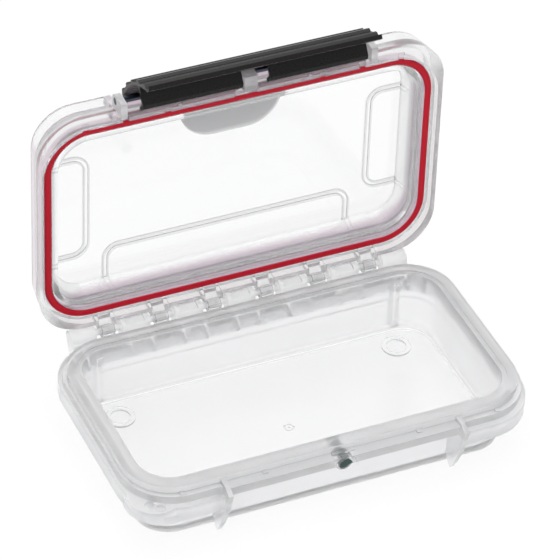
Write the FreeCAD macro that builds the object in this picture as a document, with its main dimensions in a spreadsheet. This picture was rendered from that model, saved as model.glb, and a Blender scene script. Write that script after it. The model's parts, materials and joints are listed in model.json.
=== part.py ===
import FreeCAD
import Part
import math
import os

# A small waterproof carry case, standing open: a drafted tray with a sealing rim, a lid that
# turns on six clip-on knuckles, a red seal in the lid, a full-width latch and a purge valve.
# X runs along the hinge, Y from the latch to the hinge, Z up from the feet.
# The lid and its latch are built in their closed places and then turned to where they stand.

# Driving sizes in millimetres and degrees
SIZES = {
    # Tray
    "inner_length": 158.0,
    "inner_width": 82.0,
    "inner_corner": 14.0,
    "wall": 2.2,
    "wall_draft": 2.0,
    "floor_thickness": 2.0,
    "base_height": 30.0,
    "foot_height": 0.8,
    "foot_radius": 6.2,
    "foot_ring": 2.0,
    "foot_inset_side": 17.0,
    "foot_inset_front": 11.5,
    # Rim, its two steps and the skirt below them
    "rim_width": 6.2,
    "lip_width": 2.0,
    "lip_depth": 0.4,
    "seat_drop": 3.0,
    "seat_side": 1.2,
    "seat_front": 2.4,
    "rail_drop": 3.5,
    "rail_side": 1.1,
    "rail_front": 2.4,
    "skirt_depth": 7.0,
    "skirt_wall": 2.0,
    "ledge_thickness": 3.7,
    "web_width": 2.0,
    "web_centre_width": 9.5,
    "web_height": 0.6,
    "web_inner": 33.3,
    "web_outer_inset": 11.0,
    "web_clearance": 0.3,
    "rib_thickness": 1.2,
    "rib_recess": 3.0,
    "rib_spread": 4.7,
    "corner_post": 2.9,
    "post_inset": 13.8,
    "side_rib_pitch": 20.0,
    "nub_width": 1.4,
    "nub_height": 2.6,
    # Eye for a cord at the front left corner
    "eye_plate_radius": 11.0,
    "eye_root_radius": 14.6,
    "eye_plate": 3.0,
    "eye_radius": 2.0,
    # Latch guards at the front
    "fin_thickness": 2.0,
    "fin_reach": 4.1,
    "fin_gap": 0.5,
    # Hinge
    "hinge_offset": 6.5,
    "hinge_drop": 2.3,
    "hinge_inset": 4.0,
    "end_block": 10.8,
    "block_radius": 3.4,
    "bar_radius": 1.5,
    "bar_clearance": 0.1,
    "knuckle_count": 6.0,
    "knuckle_gap": 11.4,
    "hook_width": 5.4,
    "hook_radius": 3.2,
    "hook_slot": 2.4,
    "knuckle_rib": 1.6,
    # Lid
    "rim_clearance": 0.5,
    "rim_gap": 0.3,
    "lid_wall": 2.0,
    "lid_height": 13.5,
    "lid_rail_height": 11.0,
    "lid_rail_draft": 2.0,
    "lid_rail_reach": 4.3,
    "lid_corner_trim": 3.7,
    "lid_draft": 3.1,
    "window_thickness": 2.2,
    "groove_depth": 2.9,
    "panel_groove": 2.0,
    "panel_depth": 0.5,
    "pad_height": 0.6,
    "lid_open_angle": 91.4,
    # Seal
    "seal_outset": 5.2,
    "seal_width": 3.0,
    "seal_fit": 0.1,
    # Latch
    "latch_length": 98.8,
    "latch_thickness": 1.3,
    "latch_curve": 34.5,
    "latch_rise": 5.9,
    "latch_fall": 25.6,
    "latch_wall": 1.5,
    "latch_open_angle": 42.0,
    "tray_end_gap": 1.4,
    "tray_middle_gap": 5.8,
    "lug_inset": 8.0,
    "ridge_height": 1.0,
    "ridge_pitch": 6.7,
    "ridge_count": 5.0,
    "pivot_reach": 7.4,
    "pivot_drop": 0.4,
    "pin_radius": 1.5,
    "pin_fit": 0.03,
    "pin_clearance": 0.1,
    "ear_thickness": 2.6,
    "ear_gap": 0.4,
    "ear_radius": 2.8,
    "middle_ear_width": 5.7,
    # Purge valve
    "valve_drop": 6.8,
    "valve_boss_radius": 3.7,
    "valve_inset": 1.8,
    "valve_face": 1.0,
    "valve_slot_width": 2.2,
    "valve_slot_height": 1.0,
    "plug_radius": 2.5,
    "plug_clearance": 0.05,
    "plug_recess": 1.2,
    "plug_vent_radius": 1.0,
}


class Length:
    """A size as a number and as the sheet expression that gives it."""

    def __init__(self, number, text):
        self.number = number
        self.text = text

    def joined(self, other, sign, number):
        return Length(number, f"({self.text} {sign} {length(other).text})")

    def __add__(self, other):
        return self.joined(other, "+", self.number + length(other).number)

    def __sub__(self, other):
        return self.joined(other, "-", self.number - length(other).number)

    def __mul__(self, other):
        return self.joined(other, "*", self.number * length(other).number)

    def __truediv__(self, other):
        return self.joined(other, "/", self.number / length(other).number)

    def __neg__(self):
        return Length(-self.number, f"(-1 * {self.text})")


def length(value):
    return value if isinstance(value, Length) else Length(float(value), repr(float(value)))


doc = FreeCAD.newDocument("waterproof_box")
sheet = doc.addObject("Spreadsheet::Sheet", "Sizes")
for row, (name, value) in enumerate(SIZES.items(), start=1):
    sheet.set(f"A{row}", name)
    sheet.set(f"B{row}", str(value))
    sheet.setAlias(f"B{row}", name)
doc.recompute()


def size(name):
    return Length(SIZES[name], f"Sizes.{name}")


# Places that several pieces share
inner_x = size("inner_length") / 2
inner_y = size("inner_width") / 2
inner_corner = size("inner_corner")
rim_top = size("base_height")
rim_x = inner_x + size("rim_width")
rim_y = inner_y + size("rim_width")
rim_corner = inner_corner + size("rim_width")
seat_x = rim_x + size("seat_side")
seat_y = rim_y + size("seat_front")
seat_top = rim_top - size("seat_drop")
rail_x = seat_x + size("rail_side")
rail_y = seat_y + size("rail_front")
rail_top = seat_top - size("rail_drop")
skirt_bottom = rail_top - size("skirt_depth")
hinge_y = rim_y + size("hinge_offset")
hinge_z = rim_top - size("hinge_drop")
lid_x = rim_x + size("rim_clearance") + size("lid_wall")
lid_y = rim_y + size("rim_clearance") + size("lid_wall")
lid_corner = rim_corner + size("rim_clearance") + size("lid_wall") - size("lid_corner_trim")
lid_bottom = seat_top + size("rim_gap")
land = rim_top + size("rim_gap")
seal_x = inner_x + size("seal_outset")
seal_y = inner_y + size("seal_outset")
seal_corner = inner_corner + size("seal_outset")
latch_half = size("latch_length") / 2
fin_x = latch_half + size("fin_gap")
ear_x = fin_x + size("fin_thickness") + size("ear_gap")
pivot_y = -(lid_y + size("pivot_reach"))
pivot_z = rim_top - size("pivot_drop")
web_places = [place * side for place in (size("web_inner"), inner_x - size("web_outer_inset"))
              for side in (-1, 1)]
valve_z = rim_top - size("valve_drop")
valve_front = rail_y - size("valve_inset")
plug_front = valve_front - size("valve_face") - size("plug_clearance")


def plane(body, role):
    return next(feature for feature in body.Origin.OriginFeatures if feature.Role == role)


def bind(item, **lengths):
    for name, value in lengths.items():
        setattr(item, name, length(value).number)
        item.setExpression(name, length(value).text)


def new_body(label):
    body = doc.addObject("PartDesign::Body", label)
    body.Label = label
    return body


def sketch_on(body, name, role, offset, shift_x=0.0, shift_y=0.0):
    """A sketch on an origin plane, moved along its normal and within itself."""
    sketch = body.newObject("Sketcher::SketchObject", name)
    sketch.AttachmentSupport = (plane(body, role), [""])
    sketch.MapMode = "FlatFace"
    moves = [length(shift_x), length(shift_y), length(offset)]
    place = FreeCAD.Vector(*[move.number for move in moves])
    sketch.AttachmentOffset = FreeCAD.Placement(place, FreeCAD.Rotation())
    for letter, move in zip("xyz", moves):
        sketch.setExpression(f"AttachmentOffset.Base.{letter}", move.text)
    return sketch


def rounded_outline(sketch, prefix, half_x, half_y, corner):
    """A rounded rectangle about the sketch's origin, bound by three sizes."""
    x, y, r = half_x.number, half_y.number, corner.number
    up = FreeCAD.Vector(0, 0, 1)
    corners = [(x - r, -y + r, -90), (x - r, y - r, 0), (-x + r, y - r, 90), (-x + r, -y + r, 180)]
    ends = [((-x + r, -y), (x - r, -y)), ((x, -y + r), (x, y - r)),
            ((x - r, y), (-x + r, y)), ((-x, y - r), (-x, -y + r))]
    lines = []
    arcs = []
    for start, stop in ends:
        line = Part.LineSegment(FreeCAD.Vector(*start, 0), FreeCAD.Vector(*stop, 0))
        lines.append(sketch.addGeometry(line, False))
    for centre_x, centre_y, angle in corners:
        circle = Part.Circle(FreeCAD.Vector(centre_x, centre_y, 0), up, r)
        first = math.radians(angle)
        arcs.append(sketch.addGeometry(Part.ArcOfCircle(circle, first, first + math.pi / 2), False))
    for index in range(4):
        sketch.addConstraint(Sketch("Tangent", lines[index], 2, arcs[index], 1))
        sketch.addConstraint(Sketch("Tangent", arcs[index], 2, lines[(index + 1) % 4], 1))
    for index, direction in enumerate(["Horizontal", "Vertical", "Horizontal", "Vertical"]):
        sketch.addConstraint(Sketch(direction, lines[index]))
    for arc in arcs[1:]:
        sketch.addConstraint(Sketch("Equal", arcs[0], arc))
    driven = {
        "right": (Sketch("DistanceX", -1, 1, lines[1], 1, x), half_x),
        "left": (Sketch("DistanceX", lines[3], 1, -1, 1, x), half_x),
        "back": (Sketch("DistanceY", -1, 1, lines[2], 1, y), half_y),
        "front": (Sketch("DistanceY", lines[0], 1, -1, 1, y), half_y),
        "corner": (Sketch("Radius", arcs[0], r), corner),
    }
    for name, (constraint, value) in driven.items():
        index = sketch.addConstraint(constraint)
        sketch.renameConstraint(index, f"{prefix}_{name}")
        sketch.setExpression(f"Constraints.{prefix}_{name}", value.text)


def Sketch(*values):
    import Sketcher
    return Sketcher.Constraint(*values)


def box_outlines(sketch, boxes):
    """Rectangles from their two ends along each axis of the sketch."""
    for number, (x, y) in enumerate(boxes):
        (left, right), (front, back) = [(length(first), length(last)) for first, last in (x, y)]
        corners = [(left, front), (right, front), (right, back), (left, back)]
        points = [FreeCAD.Vector(px.number, py.number, 0) for px, py in corners]
        lines = [sketch.addGeometry(Part.LineSegment(points[i], points[(i + 1) % 4]), False)
                 for i in range(4)]
        for index, direction in enumerate(["Horizontal", "Vertical", "Horizontal", "Vertical"]):
            sketch.addConstraint(Sketch("Coincident", lines[index], 2, lines[(index + 1) % 4], 1))
            sketch.addConstraint(Sketch(direction, lines[index]))
        driven = [("left", "DistanceX", 0, left), ("front", "DistanceY", 0, front),
                  ("right", "DistanceX", 2, right), ("back", "DistanceY", 2, back)]
        for name, kind, line, value in driven:
            index = sketch.addConstraint(Sketch(kind, -1, 1, lines[line], 1, value.number))
            sketch.renameConstraint(index, f"box{number}_{name}")
            sketch.setExpression(f"Constraints.box{number}_{name}", value.text)


def ring_outlines(sketch, centres, radii):
    """Circles of each radius about each centre."""
    for number, (x, y) in enumerate(centres):
        for radius_name, radius in radii.items():
            centre = FreeCAD.Vector(x.number, y.number, 0)
            circle = Part.Circle(centre, FreeCAD.Vector(0, 0, 1), radius.number)
            drawn = sketch.addGeometry(circle, False)
            driven = [("x", ("DistanceX", -1, 1, drawn, 3), x), ("y", ("DistanceY", -1, 1, drawn, 3), y),
                      ("radius", ("Radius", drawn), radius)]
            for name, parts, value in driven:
                index = sketch.addConstraint(Sketch(*parts, value.number))
                sketch.renameConstraint(index, f"{radius_name}{number}_{name}")
                sketch.setExpression(f"Constraints.{radius_name}{number}_{name}", value.text)


def draw_profile(sketch, start, steps):
    """A closed outline: each step is an end point, or a middle and an end point for an arc."""
    at = start
    for step in steps:
        points = [FreeCAD.Vector(x, y, 0) for x, y in [at, *step]]
        curve = Part.LineSegment(*points) if len(step) == 1 else Part.Arc(*points)
        sketch.addGeometry(curve, False)
        at = step[-1]


def pad(body, name, sketch, depth, symmetric=False):
    feature = body.newObject("PartDesign::Pad", name)
    feature.Profile = sketch
    bind(feature, Length=depth)
    if symmetric:
        feature.SideType = "Symmetric"
    return feature


def pocket(body, name, sketch, depth):
    """A pocket cut upwards from its sketch."""
    feature = body.newObject("PartDesign::Pocket", name)
    feature.Profile = sketch
    feature.Reversed = True
    bind(feature, Length=depth)
    return feature


def loft(body, name, kind, lower, upper, shift_y=0.0):
    """A drafted block or hollow between two rounded outlines: (level, half_x, half_y, corner)."""
    sketches = []
    for part, (level, half_x, half_y, corner) in (("Lower", lower), ("Upper", upper)):
        sketch = sketch_on(body, f"{name}{part}", "XY_Plane", level, 0.0, shift_y)
        rounded_outline(sketch, "outline", half_x, half_y, corner)
        sketches.append(sketch)
    feature = body.newObject(f"PartDesign::{kind}Loft", name)
    feature.Profile = sketches[0]
    feature.Sections = [sketches[1]]
    feature.Ruled = True
    return feature


def outline_pad(body, name, bottom, top, half_x, half_y, corner):
    sketch = sketch_on(body, f"{name}Outline", "XY_Plane", bottom)
    rounded_outline(sketch, "outline", half_x, half_y, corner)
    return pad(body, name, sketch, length(top) - bottom)


def ring_pocket(body, name, bottom, top, outer, inner, shift_x=0.0, shift_y=0.0):
    """A ring cut between two rounded outlines, or all of the outer one where inner is None."""
    sketch = sketch_on(body, f"{name}Outline", "XY_Plane", bottom, shift_x, shift_y)
    rounded_outline(sketch, "outer", *outer)
    if inner:
        rounded_outline(sketch, "inner", *inner)
    return pocket(body, name, sketch, length(top) - bottom)


def box(body, name, kind, x, y, z):
    """A box from its two ends along each axis."""
    feature = body.newObject(f"PartDesign::{kind}Box", name)
    spans = [(length(first), length(last)) for first, last in (x, y, z)]
    sides = [last - first for first, last in spans]
    bind(feature, Length=sides[0], Width=sides[1], Height=sides[2])
    for letter, (first, last) in zip("xyz", spans):
        feature.setExpression(f"Placement.Base.{letter}", first.text)
    return feature


def rod(body, name, kind, axis, centre, radius, depth):
    """A cylinder along X, -Y or Z from the centre of its first face."""
    feature = body.newObject(f"PartDesign::{kind}Cylinder", name)
    bind(feature, Radius=radius, Height=depth)
    turn = {"X": ((0, 1, 0), 90), "-Y": ((1, 0, 0), 90), "Z": ((0, 0, 1), 0)}[axis]
    rotation = FreeCAD.Rotation(FreeCAD.Vector(*turn[0]), turn[1])
    start = [length(value) for value in centre]
    place = FreeCAD.Vector(*[value.number for value in start])
    feature.Placement = FreeCAD.Placement(place, rotation)
    for letter, value in zip("xyz", start):
        feature.setExpression(f"Placement.Base.{letter}", value.text)
    return feature


def repeat_along_x(body, name, features, span, count):
    pattern = body.newObject("PartDesign::LinearPattern", name)
    pattern.Originals = features
    pattern.Direction = (plane(body, "X_Axis"), [""])
    bind(pattern, Length=span)
    pattern.Occurrences = int(count)
    body.Tip = pattern
    return pattern


def mirror(body, name, features, role="YZ_Plane"):
    feature = body.newObject("PartDesign::Mirrored", name)
    feature.Originals = features
    feature.MirrorPlane = (plane(body, role), [""])
    body.Tip = feature
    return feature


knuckle_count = int(SIZES["knuckle_count"])
hinge_half = inner_x - size("hinge_inset")
knuckle_span = hinge_half * 2 - size("end_block") * 2 - size("knuckle_gap")
knuckle_pitch = knuckle_span / (knuckle_count - 1)
first_knuckle = -(knuckle_span / 2)


def make_base():
    """The tray: drafted walls, stepped rim, hollow skirt, latch ledge, guards and hinge blocks."""
    body = new_body("base_tray")
    foot = size("foot_height")
    floor = foot + size("floor_thickness")
    draft = size("wall_draft")
    wall = size("wall")
    outer = (inner_x + wall, inner_y + wall, inner_corner + wall)
    outer_low = (inner_x + wall - draft, inner_y + wall - draft, inner_corner + wall - draft)
    loft(body, "Walls", "Additive", (foot, *outer_low), (rim_top, *outer))
    outline_pad(body, "Rail", skirt_bottom, rail_top, rail_x, rail_y, rim_corner + 1.8)
    outline_pad(body, "Seat", rail_top - 1, seat_top, seat_x, seat_y, rim_corner + 1.2)
    outline_pad(body, "Rim", seat_top - 1, rim_top, rim_x, rim_y, rim_corner)

    # A fuller corner at the front left carries the eye
    plate = size("eye_plate")
    for name, radius, bottom, top in (("EyePlate", size("eye_plate_radius"), rail_top - plate, rail_top),
                                      ("EyeRoot", size("eye_root_radius"), skirt_bottom, rail_top - plate)):
        rod(body, name, "Additive", "Z", (-(rail_x - radius), -(rail_y - radius), bottom), radius,
            top - bottom)

    # The flange is hollow from below, between the wall and the skirt
    skirt = size("skirt_wall")
    wall_line = (outer[0] + 0.1, outer[1] + 0.1, outer[2] + 0.1)
    hollow_top = seat_top - skirt
    flange_hollow = (rim_x - 0.6, rim_y - 0.2, rim_corner - 0.6)
    ring_pocket(body, "FlangeHollow", skirt_bottom, hollow_top, flange_hollow, wall_line)
    eye_x = rail_x - size("eye_plate_radius")
    eye_y = rail_y - size("eye_plate_radius")
    eyes = sketch_on(body, "EyeOutline", "XY_Plane", skirt_bottom - 1)
    ring_outlines(eyes, [(-(eye_x + 4.3), -(eye_y + 4.7)), (-(eye_x + 0.9), -(eye_y + 7.9))],
                  {"eye": size("eye_radius")})
    pocket(body, "Eyes", eyes, rail_top - skirt_bottom + 1)

    # The ledge that the latch hooks under, with the bay below it open to the front
    ledge_bottom = seat_top - size("ledge_thickness")
    box(body, "LatchLedge", "Additive", (-fin_x, fin_x), (-rail_y, -(rim_y - 3)), (ledge_bottom, seat_top))
    bay_back = -(outer[1] + 0.3)
    box(body, "LatchBay", "Subtractive", (-fin_x, fin_x), (-(rail_y + 1), bay_back),
        (skirt_bottom - 1, ledge_bottom))

    # Guards beside the latch, sloping back to the foot of the wall
    fin = sketch_on(body, "GuardProfile", "YZ_Plane", fin_x)
    back = -(outer_low[1].number - 0.6)
    apex = (-(rail_y.number + SIZES["fin_reach"]), rail_top.number + 2.9)
    tip = (-(rim_y.number - 1.1), foot.number + 0.2)
    draw_profile(fin, (-rim_y.number + 0.7, rim_top.number - 1), [
        ((-rail_y.number, seat_top.number + 1.5),),
        (apex,),
        ((apex[0] + 3.3, apex[1] - 11.5), tip),
        ((tip[0] + 1.3, tip[1] + 0.6), (tip[0] + 3.2, tip[1] + 3.0)),
        ((back, foot.number + 5.2),),
        ((back, seat_top.number - 4.0),),
        ((-rim_y.number + 0.7, seat_top.number - 1),),
        ((-rim_y.number + 0.7, rim_top.number - 1),),
    ])
    guard = pad(body, "Guard", fin, size("fin_thickness"))
    mirror(body, "Guards", [guard])

    # Hinge blocks: one long profile, parted by the knuckle gaps that the moulded bar crosses
    radius = SIZES["block_radius"]
    y, z = hinge_y.number, hinge_z.number
    block = sketch_on(body, "HingeProfile", "YZ_Plane", 0)
    draw_profile(block, (y - radius, z), [
        ((y, z + radius), (y + radius, z)),
        ((rail_y.number, skirt_bottom.number),),
        ((rim_y.number + 0.5, skirt_bottom.number),),
        ((rim_y.number + 0.5, seat_top.number - 0.5),),
        ((y - radius, seat_top.number - 0.5),),
        ((y - radius, z),),
    ])
    pad(body, "HingeBlocks", block, hinge_half * 2, symmetric=True)
    gap = size("knuckle_gap")
    gap_cut = box(body, "KnuckleGap", "Subtractive",
                  (first_knuckle - gap / 2, first_knuckle + gap / 2),
                  (rail_y, hinge_y + radius + 1), (skirt_bottom - 1, hinge_z + radius + 1))
    gap_top = box(body, "KnuckleGapTop", "Subtractive",
                  (first_knuckle - gap / 2, first_knuckle + gap / 2),
                  (seat_y, rail_y), (rail_top, hinge_z + radius + 1))
    repeat_along_x(body, "KnuckleGaps", [gap_cut, gap_top], knuckle_span, knuckle_count)
    window = knuckle_pitch - gap
    windows_start = first_knuckle + knuckle_pitch / 2
    window_cut = box(body, "BlockWindow", "Subtractive",
                     (windows_start - window / 2 + 2, windows_start + window / 2 - 2),
                     (hinge_y - radius - 0.1, hinge_y + 1.6), (hinge_z + size("bar_radius") + 0.2, hinge_z + radius + 1))
    repeat_along_x(body, "BlockWindows", [window_cut], knuckle_pitch * (knuckle_count - 2),
                   knuckle_count - 1)
    rod(body, "HingeBar", "Additive", "X", (-(hinge_half - 4), hinge_y, hinge_z), size("bar_radius"),
        hinge_half * 2 - 8)

    # Boss of the purge valve: a slot in its face and a bore that opens inside the tray
    boss_back = outer[1] - 1
    rod(body, "PurgeBoss", "Additive", "-Y", (0, -boss_back, valve_z), size("valve_boss_radius"),
        valve_front - boss_back)

    # The hollow, with a shallow step round its mouth
    hollow_low = (inner_x - draft, inner_y - draft, inner_corner - draft)
    loft(body, "Hollow", "Subtractive", (floor, *hollow_low), (rim_top, inner_x, inner_y, inner_corner))
    lip = size("lip_width")
    ring_pocket(body, "Lip", rim_top - size("lip_depth"), rim_top + 1,
                (inner_x + lip, inner_y + lip, inner_corner + lip), None)

    bore_end = inner_y - draft - 1
    rod(body, "PlugBore", "Subtractive", "-Y", (0, -bore_end, valve_z),
        size("plug_radius") + size("plug_clearance"), valve_front - size("valve_face") - bore_end)
    slot_x = size("valve_slot_width") / 2
    slot_z = size("valve_slot_height") / 2
    box(body, "ValveSlot", "Subtractive", (-slot_x, slot_x), (-(valve_front + 1), -(plug_front - 0.5)),
        (valve_z - slot_z, valve_z + slot_z))

    # Ring feet under the floor
    foot_x = inner_x - size("foot_inset_side")
    foot_y = inner_y - size("foot_inset_front")
    feet = sketch_on(body, "FeetOutline", "XY_Plane", 0)
    ring_outlines(feet, [(-foot_x, -foot_y), (foot_x, -foot_y), (-foot_x, foot_y), (foot_x, foot_y)],
                  {"outside": size("foot_radius"), "inside": size("foot_radius") - size("foot_ring")})
    pad(body, "Feet", feet, foot + 0.1)

    # Posts at the ends of the hinge and short ribs under the flange
    post = size("corner_post")
    post_x = inner_x - size("post_inset")
    posts = sketch_on(body, "PostOutline", "XY_Plane", foot)
    post_y = (inner_y - 1, outer[1] + 2.6)
    box_outlines(posts, [((post_x, post_x + post), post_y), ((-post_x - post, -post_x), post_y)])
    pad(body, "Posts", posts, hollow_top + 0.1 - foot)
    half = size("rib_thickness") / 2
    spread = size("rib_spread")
    back_y = (outer[1] - 1, rim_y)
    side_x = (outer[0] - 1, rim_x - 0.3)
    ribs = []
    for centre in [knuckle_pitch * count + spread * side for count in range(-2, 3) for side in (-1, 1)]:
        ribs.append(((centre - half, centre + half), back_y))
    for centre in [size("side_rib_pitch") * count for count in (-1, 0, 1)]:
        ribs.append((side_x, (centre - half, centre + half)))
        ribs.append(((-side_x[1], -side_x[0]), (centre - half, centre + half)))
    for inset, drop, end in ((7.1, 1.6, 1), (1.5, 5.9, 1), (12.0, 0.1, -1), (1.5, 5.9, -1)):
        near, far = (outer[1] - drop - 1) * end, (outer[1] - drop + 5.6) * end
        for side in (-1, 1):
            centre = (inner_x - inset) * side
            ribs.append(((centre - half, centre + half), (near, far) if end > 0 else (far, near)))
    short_ribs = sketch_on(body, "RibOutline", "XY_Plane", skirt_bottom + size("rib_recess"))
    box_outlines(short_ribs, ribs)
    pad(body, "Ribs", short_ribs, hollow_top + 0.1 - skirt_bottom - size("rib_recess"))
    webs = sketch_on(body, "WebOutline", "XY_Plane", seat_top - 0.5)
    half_web = size("web_width") / 2
    web_y = (-(seat_y - 0.4), -(rim_y - 1))
    half_centre = size("web_centre_width") / 2
    box_outlines(webs, [((place - half_web, place + half_web), web_y) for place in web_places]
                 + [((-half_centre, half_centre), web_y)])
    pad(body, "Webs", webs, size("web_height") + 0.5)
    return body


def ear_profile(sketch):
    """The lid's ear round the latch pin, with the stop below it."""
    y, z = pivot_y.number, pivot_z.number
    nose = SIZES["ear_radius"]
    lid_front = -lid_y.number + 1
    low = lid_bottom.number
    draw_profile(sketch, (lid_front, z + nose), [
        ((y, z + nose),),
        ((y - nose * 0.7071, z + nose * 0.7071), (y - nose, z)),
        ((y - 2.2, z - 6.6),),
        ((y + 4.4, z - 6.9),),
        ((y + 4.4, low),),
        ((lid_front, low),),
        ((lid_front, z + nose),),
    ])


def hook_profile(sketch):
    """A knuckle hook: it leaves the lid above the bar, passes below it and ends behind it."""
    y, z = hinge_y.number, hinge_z.number
    outer = SIZES["hook_radius"]
    inner = SIZES["bar_radius"] + SIZES["bar_clearance"]
    half = SIZES["hook_slot"] / 2
    inner_rise = math.sqrt(inner ** 2 - half ** 2)
    outer_rise = math.sqrt(outer ** 2 - half ** 2)
    under = -0.3
    start = -math.sqrt(outer ** 2 - under ** 2)
    back = lid_y.number - y - 1
    draw_profile(sketch, (y + half, z + outer_rise), [
        ((y + outer * 0.9, z + outer * 0.4),),
        ((y + outer * 0.9, z - outer * 0.4),),
        ((y + outer * 0.4, z - outer * 0.9),),
        ((y - outer * 0.4, z - outer * 0.9),),
        ((y + start, z + under),),
        ((y + back, z + under),),
        ((y + back, z + outer),),
        ((y - half, z + outer),),
        ((y - half, z + inner_rise),),
        ((y, z - inner), (y + half, z + inner_rise)),
        ((y + half, z + outer_rise),),
    ])


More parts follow.
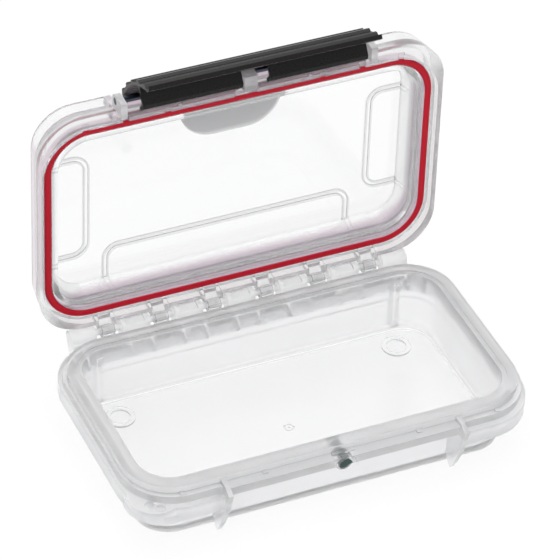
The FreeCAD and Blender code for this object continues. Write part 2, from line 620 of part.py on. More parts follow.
def make_lid():
    """The clear lid: skirt and upstanding rail, seal groove, raised window, hooks and ears."""
    body = new_body("lid_cover")
    rail_high = rim_top + size("lid_rail_height")
    taper = size("lid_rail_draft")
    reach = size("lid_rail_reach")
    rail_half_y = lid_y + reach / 2
    rail_shift = -(reach / 2)
    loft(body, "LidSides", "Additive", (lid_bottom, lid_x, rail_half_y, lid_corner),
         (rail_high, lid_x - taper, rail_half_y - taper, lid_corner - taper), rail_shift)
    groove_top = land + size("groove_depth")
    channel_floor = groove_top + size("lid_wall")
    rail_in = taper + size("lid_wall")
    lid_edge = length(0.4)
    dome = size("window_thickness") + 0.2
    dome_x, dome_y = inner_x - lid_edge + dome, inner_y - lid_edge + dome
    ring_pocket(body, "Channel", channel_floor, rail_high + 1,
                (lid_x - rail_in, rail_half_y - rail_in, lid_corner - rail_in), None, 0.0, rail_shift)

    # The rail stands back behind the latch, between two end walls that carry the ears
    wall_end = ear_x + size("ear_thickness")
    front, top_front = lid_y.number, lid_y.number - taper.number
    bay = sketch_on(body, "BayWallProfile", "YZ_Plane", 0)
    draw_profile(bay, (-front, lid_bottom.number), [
        ((-top_front, rail_high.number),),
        ((-top_front + SIZES["lid_wall"], rail_high.number),),
        ((-top_front + SIZES["lid_wall"], lid_bottom.number),),
        ((-front, lid_bottom.number),),
    ])
    pad(body, "BayWall", bay, wall_end * 2, symmetric=True)
    cut = sketch_on(body, "BayProfile", "YZ_Plane", 0)
    draw_profile(cut, (-front, lid_bottom.number), [
        ((-top_front, rail_high.number),),
        ((-top_front, rail_high.number + 1),),
        ((-(front + 6), rail_high.number + 1),),
        ((-(front + 6), lid_bottom.number - 1),),
        ((-front, lid_bottom.number - 1),),
        ((-front, lid_bottom.number),),
    ])
    bay_cut = body.newObject("PartDesign::Pocket", "Bay")
    bay_cut.Profile = cut
    bay_cut.SideType = "Symmetric"
    bind(bay_cut, Length=ear_x * 2)
    walls = sketch_on(body, "EndWallProfile", "YZ_Plane", ear_x)
    reached = reach.number
    draw_profile(walls, (-(front + reached - 0.1), lid_bottom.number), [
        ((-(top_front + reached - 0.1), rail_high.number),),
        ((-top_front + 0.5, rail_high.number),),
        ((-top_front + 0.5, lid_bottom.number),),
        ((-(front + reached - 0.1), lid_bottom.number),),
    ])
    end_wall = pad(body, "EndWall", walls, size("ear_thickness"))
    mirror(body, "EndWalls", [end_wall])
    lid_top = rim_top + size("lid_height")
    draft = size("lid_draft")
    loft(body, "Dome", "Additive", (channel_floor - 1, dome_x, dome_y, inner_corner + dome),
         (lid_top, dome_x - draft, dome_y - draft, inner_corner + dome - draft))

    # Knuckle hooks with a rib each side, then the latch ears
    hook = sketch_on(body, "HookProfile", "YZ_Plane", first_knuckle)
    hook_profile(hook)
    knuckles = [pad(body, "Hook", hook, size("hook_width"), symmetric=True)]
    rib = size("knuckle_rib")
    for index, side in enumerate((-1, 1)):
        ribs = sketch_on(body, f"KnuckleRibProfile{index}", "YZ_Plane",
                         first_knuckle + (size("hook_width") / 2 + rib / 2) * side)
        face, y, z = lid_y.number - 1, hinge_y.number, hinge_z.number
        draw_profile(ribs, (face, z - 0.3), [
            ((y - 1.9, z - 0.3),),
            ((y - 1.9, z + 2.6),),
            ((lid_y.number + 0.1, z + 9.0),),
            ((face, z + 9.0),),
            ((face, z - 0.3),),
        ])
        knuckles.append(pad(body, f"KnuckleRib{index}", ribs, rib, symmetric=True))
    repeat_along_x(body, "Knuckles", knuckles, knuckle_span, knuckle_count)
    middle = sketch_on(body, "MiddleEarProfile", "YZ_Plane", 0)
    ear_profile(middle)
    pad(body, "MiddleEar", middle, size("middle_ear_width"), symmetric=True)
    side = sketch_on(body, "EarProfile", "YZ_Plane", ear_x)
    ear_profile(side)
    ear = pad(body, "Ear", side, size("ear_thickness"))
    mirror(body, "Ears", [ear])
    pin_half = ear_x + size("ear_thickness")
    rod(body, "PinBore", "Subtractive", "X", (-(pin_half + 1), pivot_y, pivot_z),
        size("pin_radius") + size("pin_fit"), pin_half * 2 + 2)

    # Small nubs on the front of the skirt, below the latch
    nub = size("nub_width") / 2
    nub_y = (-(lid_y + 0.9), -(lid_y - 1))
    nubs = sketch_on(body, "NubOutline", "XY_Plane", lid_bottom)
    box_outlines(nubs, [((place - nub, place + nub), nub_y) for place in map(length, (-28, -3.5, 3.5, 28))])
    pad(body, "Nubs", nubs, size("nub_height"))

    # Room for the tray's rim, the seal's groove and the hollow below the window
    gap = size("rim_clearance")
    ring_pocket(body, "RimRoom", lid_bottom - 1, land, (rim_x + gap, rim_y + gap, rim_corner + gap), None)
    notch = size("web_clearance")
    half_notch = size("web_width") / 2 + notch
    notches = sketch_on(body, "WebNotchOutline", "XY_Plane", lid_bottom - 1)
    notch_y = (-(lid_y + 1), -(rim_y - 1))
    half_centre = size("web_centre_width") / 2 + notch
    box_outlines(notches, [((place - half_notch, place + half_notch), notch_y) for place in web_places]
                 + [((-half_centre, half_centre), notch_y)])
    pocket(body, "WebNotches", notches, seat_top + size("web_height") + notch - lid_bottom + 1)
    slots = sketch_on(body, "GuardSlotOutline", "XY_Plane", lid_bottom - 1)
    slot_y = (-(lid_y + 1), -(rim_y - 1))
    slot_x = (fin_x - notch, ear_x)
    box_outlines(slots, [(slot_x, slot_y), ((-slot_x[1], -slot_x[0]), slot_y)])
    pocket(body, "GuardSlots", slots, rim_top - 1 + notch - lid_bottom + 1)
    fit = size("seal_fit")
    seal_out = (seal_x + fit, seal_y + fit, seal_corner + fit)
    seal_in = tuple(value - size("seal_width") - fit * 2 for value in seal_out)
    ring_pocket(body, "SealGroove", land, groove_top, seal_out, seal_in)
    window_inside = lid_top - size("window_thickness")
    mouth = (inner_x - lid_edge, inner_y - lid_edge, inner_corner)
    loft(body, "LidHollow", "Subtractive", (land - 0.01, *mouth),
         (window_inside, mouth[0] - draft, mouth[1] - draft, inner_corner - draft))

    # Three panels outlined on the window by shallow grooves that run off its edges
    groove = size("panel_groove")
    depth = size("panel_depth")
    corner = length(7.0)
    panels = {
        "LeftPanel": (-(inner_x + 2), 0, 20.0, 24.8),
        "RightPanel": (inner_x + 2, 0, 20.0, 24.8),
        "BackPanel": (0, inner_y + 2, 54.7, 21.0),
    }
    for name, (x, y_place, half_x, half_y) in panels.items():
        half_x, half_y = length(half_x), length(half_y)
        ring_pocket(body, name, lid_top - depth, lid_top + 1, (half_x, half_y, corner),
                    (half_x - groove, half_y - groove, corner - groove), x, y_place)

    # A plain half-oval pad behind the latch
    straight = dome_y.number - draft.number - 1.0
    oval = sketch_on(body, "PadOutline", "XY_Plane", lid_top - 0.3)
    draw_profile(oval, (-21.5, -straight), [
        ((-17.0, -25.6), (0.0, -21.3)),
        ((17.0, -25.6), (21.5, -straight)),
        ((-21.5, -straight),),
    ])
    pad(body, "OvalPad", oval, size("pad_height") + 0.3)
    return body


def make_seal():
    """The red rubber seal in the lid's groove."""
    body = new_body("lid_seal")
    sketch = sketch_on(body, "SealOutline", "XY_Plane", rim_top + 0.05)
    rounded_outline(sketch, "outer", seal_x, seal_y, seal_corner)
    width = size("seal_width")
    rounded_outline(sketch, "inner", seal_x - width, seal_y - width, seal_corner - width)
    pad(body, "SealStrip", sketch, size("groove_depth") + size("rim_gap") - 0.1)
    return body


def make_latch():
    """The latch: a curved, ridged cover with two hooked trays that turn on the pin."""
    body = new_body("latch_cover")
    y, z = pivot_y.number, pivot_z.number
    radius = SIZES["latch_curve"]
    thickness = SIZES["latch_thickness"]
    fall, rise = -SIZES["latch_fall"], SIZES["latch_rise"]
    centre_z = -6.2
    centre_y = radius - 5.1

    def on_arc(reach, height):
        return (y + centre_y - math.sqrt(reach ** 2 - (height - centre_z) ** 2), z + height)

    inside = radius - thickness
    crest = radius + SIZES["ridge_height"]
    outline = []
    height = rise
    for index in range(int(SIZES["ridge_count"])):
        middle = rise - 1.6 - SIZES["ridge_pitch"] * index
        outline.append((on_arc(radius, (height + middle + 1.3) / 2), on_arc(radius, middle + 1.3)))
        for step, reach in ((0.6, crest), (-0.6, crest), (-1.3, radius)):
            outline.append((on_arc(reach, middle + step),))
        height = middle - 1.3
    cover = sketch_on(body, "CoverProfile", "YZ_Plane", 0)
    lip = on_arc(radius, fall)
    lip_in = on_arc(inside, fall + 1.4)
    draw_profile(cover, on_arc(radius, rise), outline + [
        (on_arc(radius, (height + fall) / 2), lip),
        ((lip[0] - 1.2, lip[1] - 1.4),),
        ((lip[0] + 0.6, lip[1] - 1.2),),
        (lip_in,),
        (on_arc(inside, centre_z), on_arc(inside, rise - 0.3)),
        (on_arc(radius, rise),),
    ])
    pad(body, "Cover", cover, latch_half * 2, symmetric=True)

    # Each tray: a shelf with an upturned lip, and two lugs that turn on the pin
    shelf_start = size("tray_middle_gap")
    shelf_end = latch_half - size("tray_end_gap")
    shelf = sketch_on(body, "ShelfProfile", "YZ_Plane", shelf_start)
    low = on_arc(inside + 0.5, -13.0)
    draw_profile(shelf, low, [
        ((y + 5.3, z - 11.6),),
        ((y + 6.6, z - 10.3),),
        ((y + 6.6, z - 6.6),),
        ((y + 4.9, z - 6.6),),
        ((y + 4.5, z - 10.1),),
        (on_arc(inside + 0.5, -11.4),),
        (low,),
    ])
    pieces = [pad(body, "Shelf", shelf, shelf_end - shelf_start)]
    wall = size("latch_wall")
    inset = size("lug_inset")
    for index, place in enumerate((shelf_start + inset, shelf_end - wall - inset)):
        end = sketch_on(body, f"LugProfile{index}", "YZ_Plane", place)
        draw_profile(end, (y + 2.6, z - 1.5), [
            ((y + 5.2, z - 11.2),),
            (low,),
            (on_arc(inside + 0.3, centre_z), on_arc(inside + 0.3, 0.5)),
            ((y - 0.4, z + 3.0), (y + 2.6, z + 1.5)),
            ((y + 3.0, z), (y + 2.6, z - 1.5)),
        ])
        pieces.append(pad(body, f"Lug{index}", end, wall))
    mirror(body, "Trays", pieces)
    rod(body, "PivotBore", "Subtractive", "X", (-latch_half, pivot_y, pivot_z),
        size("pin_radius") + size("pin_clearance"), latch_half * 2)
    return body


def make_pin():
    """The steel pin through the three ears."""
    body = new_body("latch_pin")
    half = ear_x + size("ear_thickness")
    rod(body, "Pin", "Additive", "X", (-half, pivot_y, pivot_z), size("pin_radius"), half * 2)
    return body


def make_plug():
    """The purge valve's plug, set into its boss from inside the tray."""
    body = new_body("purge_plug")
    back = inner_y - size("wall_draft") / 2 + size("plug_recess")
    rod(body, "PlugBody", "Additive", "-Y", (0, -back, valve_z), size("plug_radius"), plug_front - back)
    rod(body, "PlugVent", "Subtractive", "-Y", (0, -back, valve_z), size("plug_vent_radius"),
        (plug_front - back) / 2)
    return body


def turned_back(angle, y, z):
    """The placement that turns a piece about a line along X."""
    axis = FreeCAD.Vector(1, 0, 0)
    return FreeCAD.Placement(FreeCAD.Vector(), FreeCAD.Rotation(axis, -angle), FreeCAD.Vector(0, y, z))


base = make_base()
lid = make_lid()
seal = make_seal()
latch = make_latch()
pin = make_pin()
plug = make_plug()

lid_open = turned_back(SIZES["lid_open_angle"], hinge_y.number, hinge_z.number)
latch_open = turned_back(SIZES["latch_open_angle"], pivot_y.number, pivot_z.number)
for piece in (lid, seal, pin):
    piece.Placement = lid_open
latch.Placement = lid_open.multiply(latch_open)

doc.recompute()
for item in doc.Objects:
    if "Invalid" in item.State or "Error" in item.State:
        raise RuntimeError(f"{item.Name} failed")

os.makedirs("parts", exist_ok=True)
for piece in (base, lid, seal, latch, pin, plug):
    shape = piece.Shape
    if shape.isNull() or not shape.isValid() or len(shape.Solids) != 1:
        raise RuntimeError(f"{piece.Label} is not one valid solid: {len(shape.Solids)}")
    shape.exportStep(f"parts/{piece.Label}.step")
    print(piece.Label, round(shape.Volume, 1), shape.BoundBox)
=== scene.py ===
# %% [markdown]
# # A small waterproof box, standing open
# The real box is two clear plastic mouldings, a tray and a lid, with a red rubber seal in the lid,
# a black latch on a steel pin and a dark green plug in the front wall. The solid model already
# holds the true shapes, so this lesson loads it and spends its time on what the solids lack: the
# finishes, the seal's soft section and the light. Every length on the box is in metres.

# %% Load the solid model
import bpy
import json
import math
from collections import namedtuple
from mathutils import Matrix, Vector


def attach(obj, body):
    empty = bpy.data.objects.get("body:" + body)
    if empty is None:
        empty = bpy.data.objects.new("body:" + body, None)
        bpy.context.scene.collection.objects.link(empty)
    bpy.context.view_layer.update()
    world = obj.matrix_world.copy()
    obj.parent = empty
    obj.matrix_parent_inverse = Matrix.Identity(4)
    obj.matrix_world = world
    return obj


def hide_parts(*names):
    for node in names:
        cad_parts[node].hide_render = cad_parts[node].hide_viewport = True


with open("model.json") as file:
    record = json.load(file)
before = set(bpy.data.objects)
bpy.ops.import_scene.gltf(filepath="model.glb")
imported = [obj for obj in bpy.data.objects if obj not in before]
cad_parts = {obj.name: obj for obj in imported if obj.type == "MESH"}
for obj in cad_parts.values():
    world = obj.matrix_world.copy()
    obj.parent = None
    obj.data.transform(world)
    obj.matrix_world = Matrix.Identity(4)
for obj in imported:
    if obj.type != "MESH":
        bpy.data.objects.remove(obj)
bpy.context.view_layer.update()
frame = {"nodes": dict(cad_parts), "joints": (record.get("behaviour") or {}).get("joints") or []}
scene = bpy.context.scene
scene.view_settings.view_transform = "Standard"

# %% [markdown]
# ## The camera
# The photograph was taken from far away with a long lens, from the front left and from above.
# A camera can be aimed with a Track To constraint, but a measured one is placed exactly by the
# directions of its own axes, so its matrix is written out here. The focal length was measured in
# pixels, and the sensor's width turns it into millimetres.

# %% Camera
right = Vector((0.91258464, -0.4066368, 0.04284614))
down = Vector((-0.22567288, -0.58828139, -0.77652866))
forward = Vector((0.34097072, 0.69897891, -0.62862345))
eye = Vector((-0.50695, -1.02312, 0.99963))
focal_pixels = 3736.28
picture_pixels = 560
sensor_width = 36.0

lens = bpy.data.cameras.new("camera")
lens.sensor_width = sensor_width
lens.lens = focal_pixels / picture_pixels * sensor_width
lens.clip_end = 20
camera = bpy.data.objects.new("camera", lens)
turn = Matrix((right, -down, -forward)).transposed()
camera.matrix_world = Matrix.Translation(eye) @ turn.to_4x4()
scene.collection.objects.link(camera)
scene.camera = camera
print("focal length in millimetres:", round(lens.lens, 1))

# %% [markdown]
# ## Shader maths as Python
# A finish is easier to read as an expression than as a list of nodes. This small class wraps a
# socket, so that adding or multiplying two of them adds the Math node that does it. One method
# makes every kind of node, and a few short ones name the kinds that are used often.

# %% Sockets
class Socket:
    """A node's output that can be used in sums."""

    def __init__(self, finish, output):
        self.finish = finish
        self.output = output

    def __add__(self, other):
        return self.finish.maths("ADD", self, other)

    def __sub__(self, other):
        return self.finish.maths("SUBTRACT", self, other)

    def __rsub__(self, other):
        return self.finish.maths("SUBTRACT", other, self)

    def __mul__(self, other):
        return self.finish.maths("MULTIPLY", self, other)

    def __gt__(self, other):
        return self.finish.maths("GREATER_THAN", self, other)

    def __abs__(self):
        return self.finish.maths("ABSOLUTE", self)

    __radd__ = __add__
    __rmul__ = __mul__


# %% Finishes
# A Mix node has sockets of the same name for each kind of data, so its colours go by number.
first_colour = 6
second_colour = 7
mixed_colour = 2


class Finish:
    """A material, or a world, that is made node by node."""

    def __init__(self, name, world=None):
        self.material = world or bpy.data.materials.new(name)
        self.material.use_nodes = True
        self.tree = self.material.node_tree
        self.tree.nodes.clear()

    def node(self, kind, settings=None, inputs=None, output=0):
        """Adds a node: its settings first, then a value or a link for each socket."""
        node = self.tree.nodes.new("ShaderNode" + kind)
        for name, value in (settings or {}).items():
            if name == "stops":
                while len(node.color_ramp.elements) < len(value):
                    node.color_ramp.elements.new(0.5)
                for element, (place, colour) in zip(node.color_ramp.elements, value):
                    element.position = place
                    element.color = (*colour, 1)
            else:
                setattr(node, name, value)
        for name, value in (inputs or {}).items():
            if isinstance(value, Socket):
                self.tree.links.new(value.output, node.inputs[name])
            else:
                node.inputs[name].default_value = value
        return Socket(self, node.outputs[output]) if len(node.outputs) else node

    def maths(self, operation, *values):
        return self.node("Math", {"operation": operation}, dict(enumerate(values)))

    def mix(self, mask, first, second):
        """The first colour where the mask is 0 and the second where it is 1."""
        inputs = {"Factor": mask, first_colour: first, second_colour: second}
        return self.node("Mix", {"data_type": "RGBA"}, inputs, output=mixed_colour)

    def along(self, axis, space="Object"):
        """The position along one axis."""
        place = self.node("TexCoord", output=space)
        return self.node("SeparateXYZ", inputs={"Vector": place}, output=axis)

    def noise(self, scale, detail=2.0, stretch=(1, 1, 1)):
        place = self.node("TexCoord", output="Object")
        where = self.node("Mapping", inputs={"Vector": place, "Scale": stretch})
        return self.node("TexNoise", inputs={"Vector": where, "Scale": scale, "Detail": detail})

    def bump(self, height, distance):
        return self.node("Bump", inputs={"Height": height, "Distance": distance, "Strength": 1.0})

    def principled(self, **inputs):
        """A Principled shader, with an underscore for each space in an input's name."""
        named = {name.replace("_", " "): value for name, value in inputs.items()}
        return self.node("BsdfPrincipled", inputs=named)

    def surface(self, shader, kind="OutputMaterial"):
        self.node(kind, inputs={"Surface": shader})
        return self.material


def dress(node, material):
    """Gives a solid its finish in every material slot."""
    for slot in frame["nodes"][node].material_slots:
        slot.material = material
    print(node, "wears", material.name)


# %% [markdown]
# ## Masks that follow the mouldings
# Each big moulding has more than one finish, and they meet along edges of the tool that made it.
# The mesh could be cut there, but it has to stay as the solid model gave it. The edges of this
# box are rounded rectangles, so the distance to one is easy to work out from the position on the
# piece, and a soft step on that distance is a mask. A point is an outline with no size.

# %% Masks
Outline = namedtuple("Outline", "middle half corner axes", defaults=["XZ"])


def from_core(finish, outline):
    """Distance from a rounded outline's core. On the outline it is the corner's radius."""
    beyond = []
    for axis, middle, half in zip(outline.axes, outline.middle, outline.half):
        away = abs(finish.along(axis) - middle)
        beyond.append(finish.maths("MAXIMUM", away - (half - outline.corner), 0.0))
    return finish.maths("SQRT", beyond[0] * beyond[0] + beyond[1] * beyond[1])


def below(value, limit, soft):
    """1 where a value is below a limit and 0 above it, with a soft edge."""
    return value.finish.node("MapRange", {"interpolation_type": "SMOOTHSTEP"}, {
        "Value": value, "From Min": limit - soft, "From Max": limit + soft, "To Min": 1.0, "To Max": 0.0})


def inside(finish, outline, soft):
    """1 inside a rounded outline and 0 outside it."""
    return below(from_core(finish, outline), outline.corner, soft)


def band(finish, outline, half_width, soft):
    """1 on a band along a rounded outline and 0 on both sides of it."""
    return below(abs(from_core(finish, outline) - outline.corner), half_width, soft)


def blend(mask, first, second):
    """The first shader where the mask is 0 and the second where it is 1."""
    return mask.finish.node("MixShader", inputs={0: mask, 1: first, 2: second})


# %% [markdown]
# ## The clear lid
# The lid is one clear moulding with a polished window, a satin rail round it, a frosted half-oval
# pad and whitish ears for the latch's pin. Glass shaders could be mixed with plain ones for
# these. The Principled shader already holds a transmission layer, so its colour, its roughness
# and the share of light that it lets through are enough to tell the finishes apart.

# %% Places on the lid
lid_middle = 0.0812
window = Outline(middle=(0, lid_middle), half=(0.0764, 0.0384), corner=0.0118)
mouth = Outline(middle=(0, lid_middle), half=(0.0776, 0.0396), corner=0.013)
seal_groove = Outline(middle=(-0.001, 0.0832), half=(0.0827, 0.0447), corner=0.0177)
pad = Outline(middle=(0, 0.1173), half=(0.022, 0.0147), corner=0.0146)
pad_top = 0.1197
panel_corner = 0.007
side_panels = [Outline((side * 0.081, 0.081), (0.020, 0.0248), panel_corner) for side in (-1, 1)]
low_panel = Outline((0, 0.038), (0.0547, 0.021), panel_corner)
panel_groove_half = 0.001
end_ear = 0.0536
end_ear_half = 0.0016
middle_ear_half = 0.0031
ear_foot = 0.1318
print("window in metres:", [2 * half for half in window.half])

# %% Window
# The panels' grooves are fine, so what shows of each is a thin line of painted shade along both of its
# edges.
groove_line_half = 0.00035
groove_line_soft = 0.00012


def groove_lines(finish, panel):
    off_groove = abs(from_core(finish, panel) - (panel.corner - panel_groove_half))
    return below(abs(off_groove - panel_groove_half), groove_line_half, groove_line_soft)


def window_plastic(finish):
    polished = finish.principled(
        Base_Color=(0.965, 0.968, 0.972, 1),
        Roughness=0.03 + 0.02 * finish.noise(scale=900),
        IOR=1.49,
        Transmission_Weight=1.0,
        Normal=finish.bump(finish.noise(scale=60, detail=1.0), distance=0.00004),
    )
    # Painted shade: the grooves' edges show as thin grey lines.
    groove_shade = finish.principled(
        Base_Color=(0.75, 0.755, 0.76, 1),
        Roughness=0.3,
        IOR=1.3,
        Transmission_Weight=0.8,
    )
    lines = sum(groove_lines(finish, panel) for panel in (*side_panels, low_panel))
    return blend(lines, polished, groove_shade)


# %% Rail
# The seal's mauve is painted into the plastic beside it as a painted reflection, and the mouth's edge is
# painted grey as shade.
clear_colour = (0.92, 0.922, 0.927, 1)
mauve = (0.56, 0.43, 0.51, 1)
edge_shade_grey = (0.6, 0.605, 0.615, 1)


def rail_plastic(finish):
    # Painted light: a mauve painted reflection of the seal beside its groove, and painted grey shade
    # along the mouth's edge.
    seal_reflection = band(finish, seal_groove, half_width=0.0016, soft=0.0006)
    edge = band(finish, mouth, half_width=0.0006, soft=0.0003)
    return finish.principled(
        Base_Color=finish.mix(edge, finish.mix(seal_reflection, clear_colour, mauve), edge_shade_grey),
        Roughness=0.15 + 0.06 * finish.noise(scale=900),
        IOR=1.43,
        Transmission_Weight=0.85,
    )


# %% Pad and ears
def pad_plastic(finish):
    return finish.principled(
        Base_Color=(0.58, 0.583, 0.59, 1),
        Roughness=0.4,
        IOR=1.45,
        Transmission_Weight=0.45,
    )


def ear_plastic(finish):
    return finish.principled(
        Base_Color=(0.8, 0.802, 0.806, 1),
        Roughness=0.28,
        IOR=1.4,
        Transmission_Weight=0.66,
    )


def ear_places(finish, height):
    """1 on the three ears, which stand above the rail."""
    across = abs(finish.along("X"))
    at_end = below(abs(across - end_ear), end_ear_half, soft=0.0002)
    at_middle = below(across, middle_ear_half, soft=0.0002)
    return (at_end + at_middle) * (1.0 - below(height, ear_foot, soft=0.0004))


# %% Lid
def clear_plastic():
    finish = Finish("clear_plastic")
    height = finish.along("Z")
    rail = blend(ear_places(finish, height), rail_plastic(finish), ear_plastic(finish))
    body = blend(inside(finish, window, soft=0.001), rail, window_plastic(finish))
    on_pad = inside(finish, pad, soft=0.0004) * below(height, pad_top, soft=0.0003)
    return finish.surface(blend(on_pad, body, pad_plastic(finish)))


dress("lid_cover", clear_plastic())

# %% [markdown]
# ## The milky tray
# The tray is the same kind of plastic, left a little milky. Its floor is almost clear, its walls
# and the skirt behind them blur what they cover, and the thick flange round the rim is given
# painted grey shade, less so at the hinge. True scattering inside the plastic would need a volume,
# which is slow and noisy. More roughness, a lower index and a share of plain colour give much the
# same softness on the surface itself.

# %% Places on the tray
hollow = Outline(middle=(0, 0), half=(0.0793, 0.0413), corner=0.0143, axes="XY")
floor_area = Outline(middle=(0, 0), half=(0.0772, 0.0392), corner=0.0122, axes="XY")
floor_reach = 0.0052
flange_foot = 0.0222
hinge_front = 0.0494
plug_axis = Outline(middle=(0, 0.0232), half=(0, 0), corner=0)
boss_radius = 0.0045
bore_radius = 0.0029
gate = Outline(middle=(-0.0011, -0.0019), half=(0, 0), corner=0, axes="XY")
gate_ring_radius = 0.0018
gate_dot_radius = 0.0005
print("hollow in metres:", [2 * half for half in hollow.half])

# %% Tray shades
def milky(finish, colour, roughness, index, clearness, **more):
    """Milky plastic with a faint cloud in its roughness."""
    return finish.principled(
        Base_Color=(*colour, 1),
        Roughness=roughness + 0.06 * finish.noise(scale=700, detail=3.0),
        IOR=index,
        Transmission_Weight=clearness,
        **more,
    )


def wall_plastic(finish):
    return milky(finish, (0.985, 0.987, 0.992), roughness=0.3, index=1.2, clearness=0.84)


def skirt_plastic(finish):
    return milky(finish, (0.97, 0.972, 0.978), roughness=0.4, index=1.2, clearness=0.8)


# Painted shade: the flange's grey stands for light passing through many layers of plastic.
def flange_painted_shade(finish):
    return milky(finish, (0.72, 0.722, 0.727), roughness=0.28, index=1.42, clearness=0.66)


def floor_plastic(finish):
    """Almost clear, with the small ring and dot of the mould's gate in its middle."""
    from_gate = from_core(finish, gate)
    ring = below(abs(from_gate - gate_ring_radius), limit=0.0004, soft=0.0002)
    dot = below(from_gate, gate_dot_radius, soft=0.0002)
    relief = finish.bump(2.4 * (ring + dot) + 0.3 * finish.noise(scale=1500), distance=0.00006)
    return milky(finish, (0.985, 0.987, 0.992), roughness=0.1, index=1.4, clearness=0.86, Normal=relief)


def plug_shown_through(finish):
    """The plug's dark green, painted on the wall of its bore where the plug shows through."""
    return finish.principled(
        Base_Color=(0.03, 0.07, 0.06, 1),
        Roughness=0.3,
        IOR=1.4,
        Transmission_Weight=0.3,
    )


# %% Tray
def milky_plastic():
    finish = Finish("milky_plastic")
    height = finish.along("Z")
    depth = finish.along("Y")
    at_front = below(depth, limit=0, soft=0.001)
    at_hinge = 1.0 - below(depth, hinge_front, soft=0.0004)
    from_plug = from_core(finish, plug_axis)
    floor_shade = floor_plastic(finish)
    wall_shade = wall_plastic(finish)

    # Painted shade: the flange's grey, lighter at the hinge, where it is mostly the wall's plastic.
    rim = blend(0.65 * at_hinge, flange_painted_shade(finish), wall_shade)
    shell = blend(below(height, flange_foot, soft=0.0012), rim, skirt_plastic(finish))
    with_boss = blend(below(from_plug, boss_radius, soft=0.0005) * at_front, shell, floor_shade)
    # The bore's wall is painted the plug's dark green, where the plug shows through.
    in_bore = below(from_plug, bore_radius, soft=0.0002) * at_front
    outer = blend(in_bore, with_boss, plug_shown_through(finish))
    on_floor = below(height, floor_reach, soft=0.0022) * inside(finish, floor_area, soft=0.0012)
    inner = blend(on_floor, wall_shade, floor_shade)
    return finish.surface(blend(inside(finish, hollow, soft=0.0006), outer, inner))


dress("base_tray", milky_plastic())

# %% [markdown]
# ## Black plastic, steel and the green plug
# The latch is a satin black plastic with a fine spark-eroded grain. A grain this small is only
# seen in the way that the highlight breaks up, so it is a bump and a change of roughness, not a
# change of colour. The pin's noise is stretched along it, as drawn wire has its marks lengthwise.

# %% Latch, pin and plug
def black_plastic():
    finish = Finish("black_plastic")
    grain = finish.noise(scale=2600)
    return finish.surface(finish.principled(
        Base_Color=(0.007, 0.006, 0.0055, 1),
        Roughness=0.22 + 0.1 * grain,
        Specular_IOR_Level=0.22,
        Normal=finish.bump(grain, distance=0.00005),
    ))


def pin_steel():
    finish = Finish("pin_steel")
    return finish.surface(finish.principled(
        Base_Color=(0.07, 0.08, 0.105, 1),
        Metallic=1.0,
        Roughness=0.25 + 0.2 * finish.noise(scale=500, stretch=(0.02, 1, 1)),
    ))


def green_plastic():
    finish = Finish("green_plastic")
    return finish.surface(finish.principled(
        Base_Color=(0.012, 0.045, 0.035, 1),
        Roughness=0.4 + 0.1 * finish.noise(scale=900),
    ))


dress("latch_cover", black_plastic())
dress("latch_pin", pin_steel())
dress("purge_plug", green_plastic())

# %% [markdown]
# ## The seal
# A rubber seal has one soft section all the way round its groove. A curve with a bevel could make
# it by hand. Geometry Nodes sweep the section along a rounded rectangle instead, so that its
# length, width and corners are named inputs that can be changed by themselves.

# %% Seal finish
def red_rubber():
    finish = Finish("red_rubber")
    mottle = finish.noise(scale=900, detail=3.0)
    return finish.surface(finish.principled(
        Base_Color=(0.46, 0.004, 0.018, 1),
        Roughness=0.5 + 0.15 * mottle,
        Specular_IOR_Level=0.2,
        Normal=finish.bump(mottle, distance=0.00003),
    ))


# %% Seal tree
seal_sizes = {"Length": 0.1654, "Width": 0.0894, "Corner": 0.0177,
              "Strip": 0.0030, "Depth": 0.0030, "Edge": 0.0007}


def rounded(tree, sizes_in, length, width, corner, steps):
    """A rounded rectangle whose sizes come from the tree's named inputs."""
    outline = tree.nodes.new("GeometryNodeCurvePrimitiveQuadrilateral")
    tree.links.new(sizes_in[length], outline.inputs["Width"])
    tree.links.new(sizes_in[width], outline.inputs["Height"])
    fillet = tree.nodes.new("GeometryNodeFilletCurve")
    fillet.mode = "POLY"
    fillet.inputs["Count"].default_value = steps
    tree.links.new(outline.outputs["Curve"], fillet.inputs["Curve"])
    tree.links.new(sizes_in[corner], fillet.inputs["Radius"])
    return fillet.outputs["Curve"]


def seal_tree(material):
    """Sweeps the strip's section along the groove. Every size is a named input."""
    tree = bpy.data.node_groups.new("seal", "GeometryNodeTree")
    tree.interface.new_socket("Geometry", in_out="OUTPUT", socket_type="NodeSocketGeometry")
    for size in seal_sizes:
        tree.interface.new_socket(size, in_out="INPUT", socket_type="NodeSocketFloat")
    sizes_in = tree.nodes.new("NodeGroupInput").outputs
    path = rounded(tree, sizes_in, "Length", "Width", "Corner", steps=24)
    section = rounded(tree, sizes_in, "Strip", "Depth", "Edge", steps=5)
    sweep = tree.nodes.new("GeometryNodeCurveToMesh")
    tree.links.new(path, sweep.inputs["Curve"])
    tree.links.new(section, sweep.inputs["Profile Curve"])
    realize = tree.nodes.new("GeometryNodeRealizeInstances")
    tree.links.new(sweep.outputs["Mesh"], realize.inputs["Geometry"])
    paint = tree.nodes.new("GeometryNodeSetMaterial")
    paint.inputs["Material"].default_value = material
    tree.links.new(realize.outputs["Geometry"], paint.inputs["Geometry"])
    tree.links.new(paint.outputs["Geometry"], tree.nodes.new("NodeGroupOutput").inputs["Geometry"])
    return tree


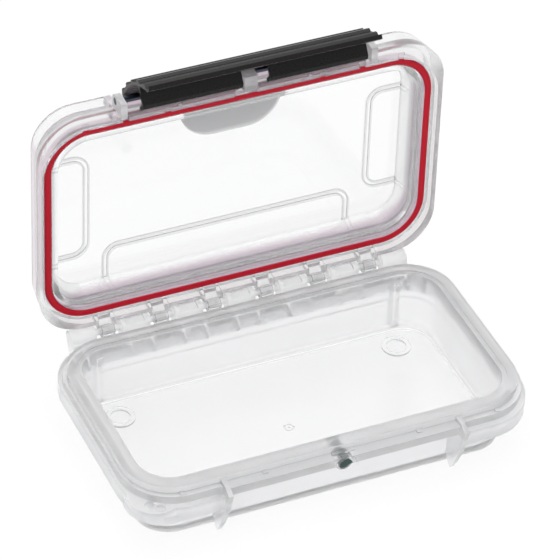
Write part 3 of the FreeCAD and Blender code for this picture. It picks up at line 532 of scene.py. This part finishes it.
# %% Plain mesh from a tree
def grow(name, tree, sizes):
    """Runs a tree on an empty mesh and keeps the result as a plain mesh."""
    blank = bpy.data.objects.new(name + "_seed", bpy.data.meshes.new(name + "_seed"))
    scene.collection.objects.link(blank)
    modifier = blank.modifiers.new("grow", "NODES")
    modifier.node_group = tree
    for item in tree.interface.items_tree:
        if item.item_type == "SOCKET" and item.in_out == "INPUT" and item.name in sizes:
            modifier[item.identifier] = sizes[item.name]
    depsgraph = bpy.context.evaluated_depsgraph_get()
    mesh = bpy.data.meshes.new_from_object(blank.evaluated_get(depsgraph))
    mesh.name = name
    piece = bpy.data.objects.new(name, mesh)
    scene.collection.objects.link(piece)
    bpy.data.objects.remove(blank)
    print(name, "has", len(mesh.polygons), "faces")
    return piece


# %% [markdown]
# ## The seal in its place
# The tree lays the seal flat, as it lies when the box is shut. The frame says where the hinge is
# and how far it turns, so the same turn that opens the lid lifts the seal into the open lid.

# %% Seal
shut_height = 0.0316
hinge = next(joint for joint in frame["joints"] if joint["name"] == "lid_hinge")
hinge_place = Vector(hinge["pos_m"])
opening_degrees = max(hinge["range_deg"])
lid_turn = (Matrix.Translation(hinge_place) @ Matrix.Rotation(math.radians(-opening_degrees), 4, "X")
            @ Matrix.Translation(-hinge_place))

seal = grow("seal", seal_tree(red_rubber()), seal_sizes)
seal.data.transform(lid_turn @ Matrix.Translation((0, 0, shut_height)))
for face in seal.data.polygons:
    face.use_smooth = True
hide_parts("lid_seal")
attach(seal, "lid")
print("the seal is lifted with the lid by", opening_degrees, "degrees")

# %% [markdown]
# ## Floor, backdrop and light
# The box stands on a white sweep. White that comes from more light would also bleach the box, so
# the floor and the sky are white only for the rays that look at them, and the lamps stay soft
# and plain.

# %% Floor
floor_half = 6
floor_gap = 0.0002


def white_paper():
    """Paper that is nearly white to the rays that look at it and still takes the box's shadow."""
    finish = Finish("floor")
    rays = ("Is Camera Ray", "Is Transmission Ray", "Is Glossy Ray")
    looked_at = sum(finish.node("LightPath", output=ray) for ray in rays) > 0.5
    paper = finish.node("BsdfDiffuse", inputs={"Color": (0.82, 0.82, 0.82, 1)})
    white = finish.node("Emission", inputs={"Color": (1, 1, 1, 1), "Strength": 1.0})
    return finish.surface(blend(looked_at * 0.9, paper, white))


corners = [(-floor_half, -floor_half, 0), (floor_half, -floor_half, 0),
           (floor_half, floor_half, 0), (-floor_half, floor_half, 0)]
floor_mesh = bpy.data.meshes.new("floor")
floor_mesh.from_pydata(corners, [], [(0, 1, 2, 3)])
floor_mesh.materials.append(white_paper())
floor = bpy.data.objects.new("floor", floor_mesh)
floor.location.z = -floor_gap
scene.collection.objects.link(floor)
print("the floor is", 2 * floor_half, "metres across")

# %% Sky
sky_stops = [(0.0, (0.75, 0.75, 0.75)), (0.35, (0.76, 0.76, 0.77)), (1.0, (0.85, 0.85, 0.85))]


def pale_sky():
    """A soft grey light from all round, which is white to the camera."""
    sky = Finish("sky", bpy.data.worlds.new("sky"))
    shade = sky.node("ValToRGB", {"stops": sky_stops}, {"Fac": sky.along("Z", space="Generated")})
    seen = sky.node("LightPath", output="Is Camera Ray")
    colour = sky.mix(seen, shade, (1, 1, 1, 1))
    backdrop = sky.node("Background", inputs={"Color": colour, "Strength": 1.0})
    return sky.surface(backdrop, kind="OutputWorld")


scene.world = pale_sky()
print("the sky has", len(sky_stops), "shades of grey")

# %% Lamps
lamp_target = Vector((0, 0, 0.05))


def softbox(name, place, width, height, power):
    data = bpy.data.lights.new(name, "AREA")
    data.shape = "RECTANGLE"
    data.size = width
    data.size_y = height
    data.energy = power
    lamp = bpy.data.objects.new(name, data)
    lamp.location = place
    lamp.rotation_euler = (lamp_target - Vector(place)).to_track_quat("-Z", "Y").to_euler()
    scene.collection.objects.link(lamp)
    print(name, "gives", power, "watts")


softbox("top_lamp", (0.0, 0.1, 1.3), width=1.2, height=1.2, power=12)
softbox("side_lamp", (-1.1, -0.7, 0.9), width=0.7, height=0.9, power=6)
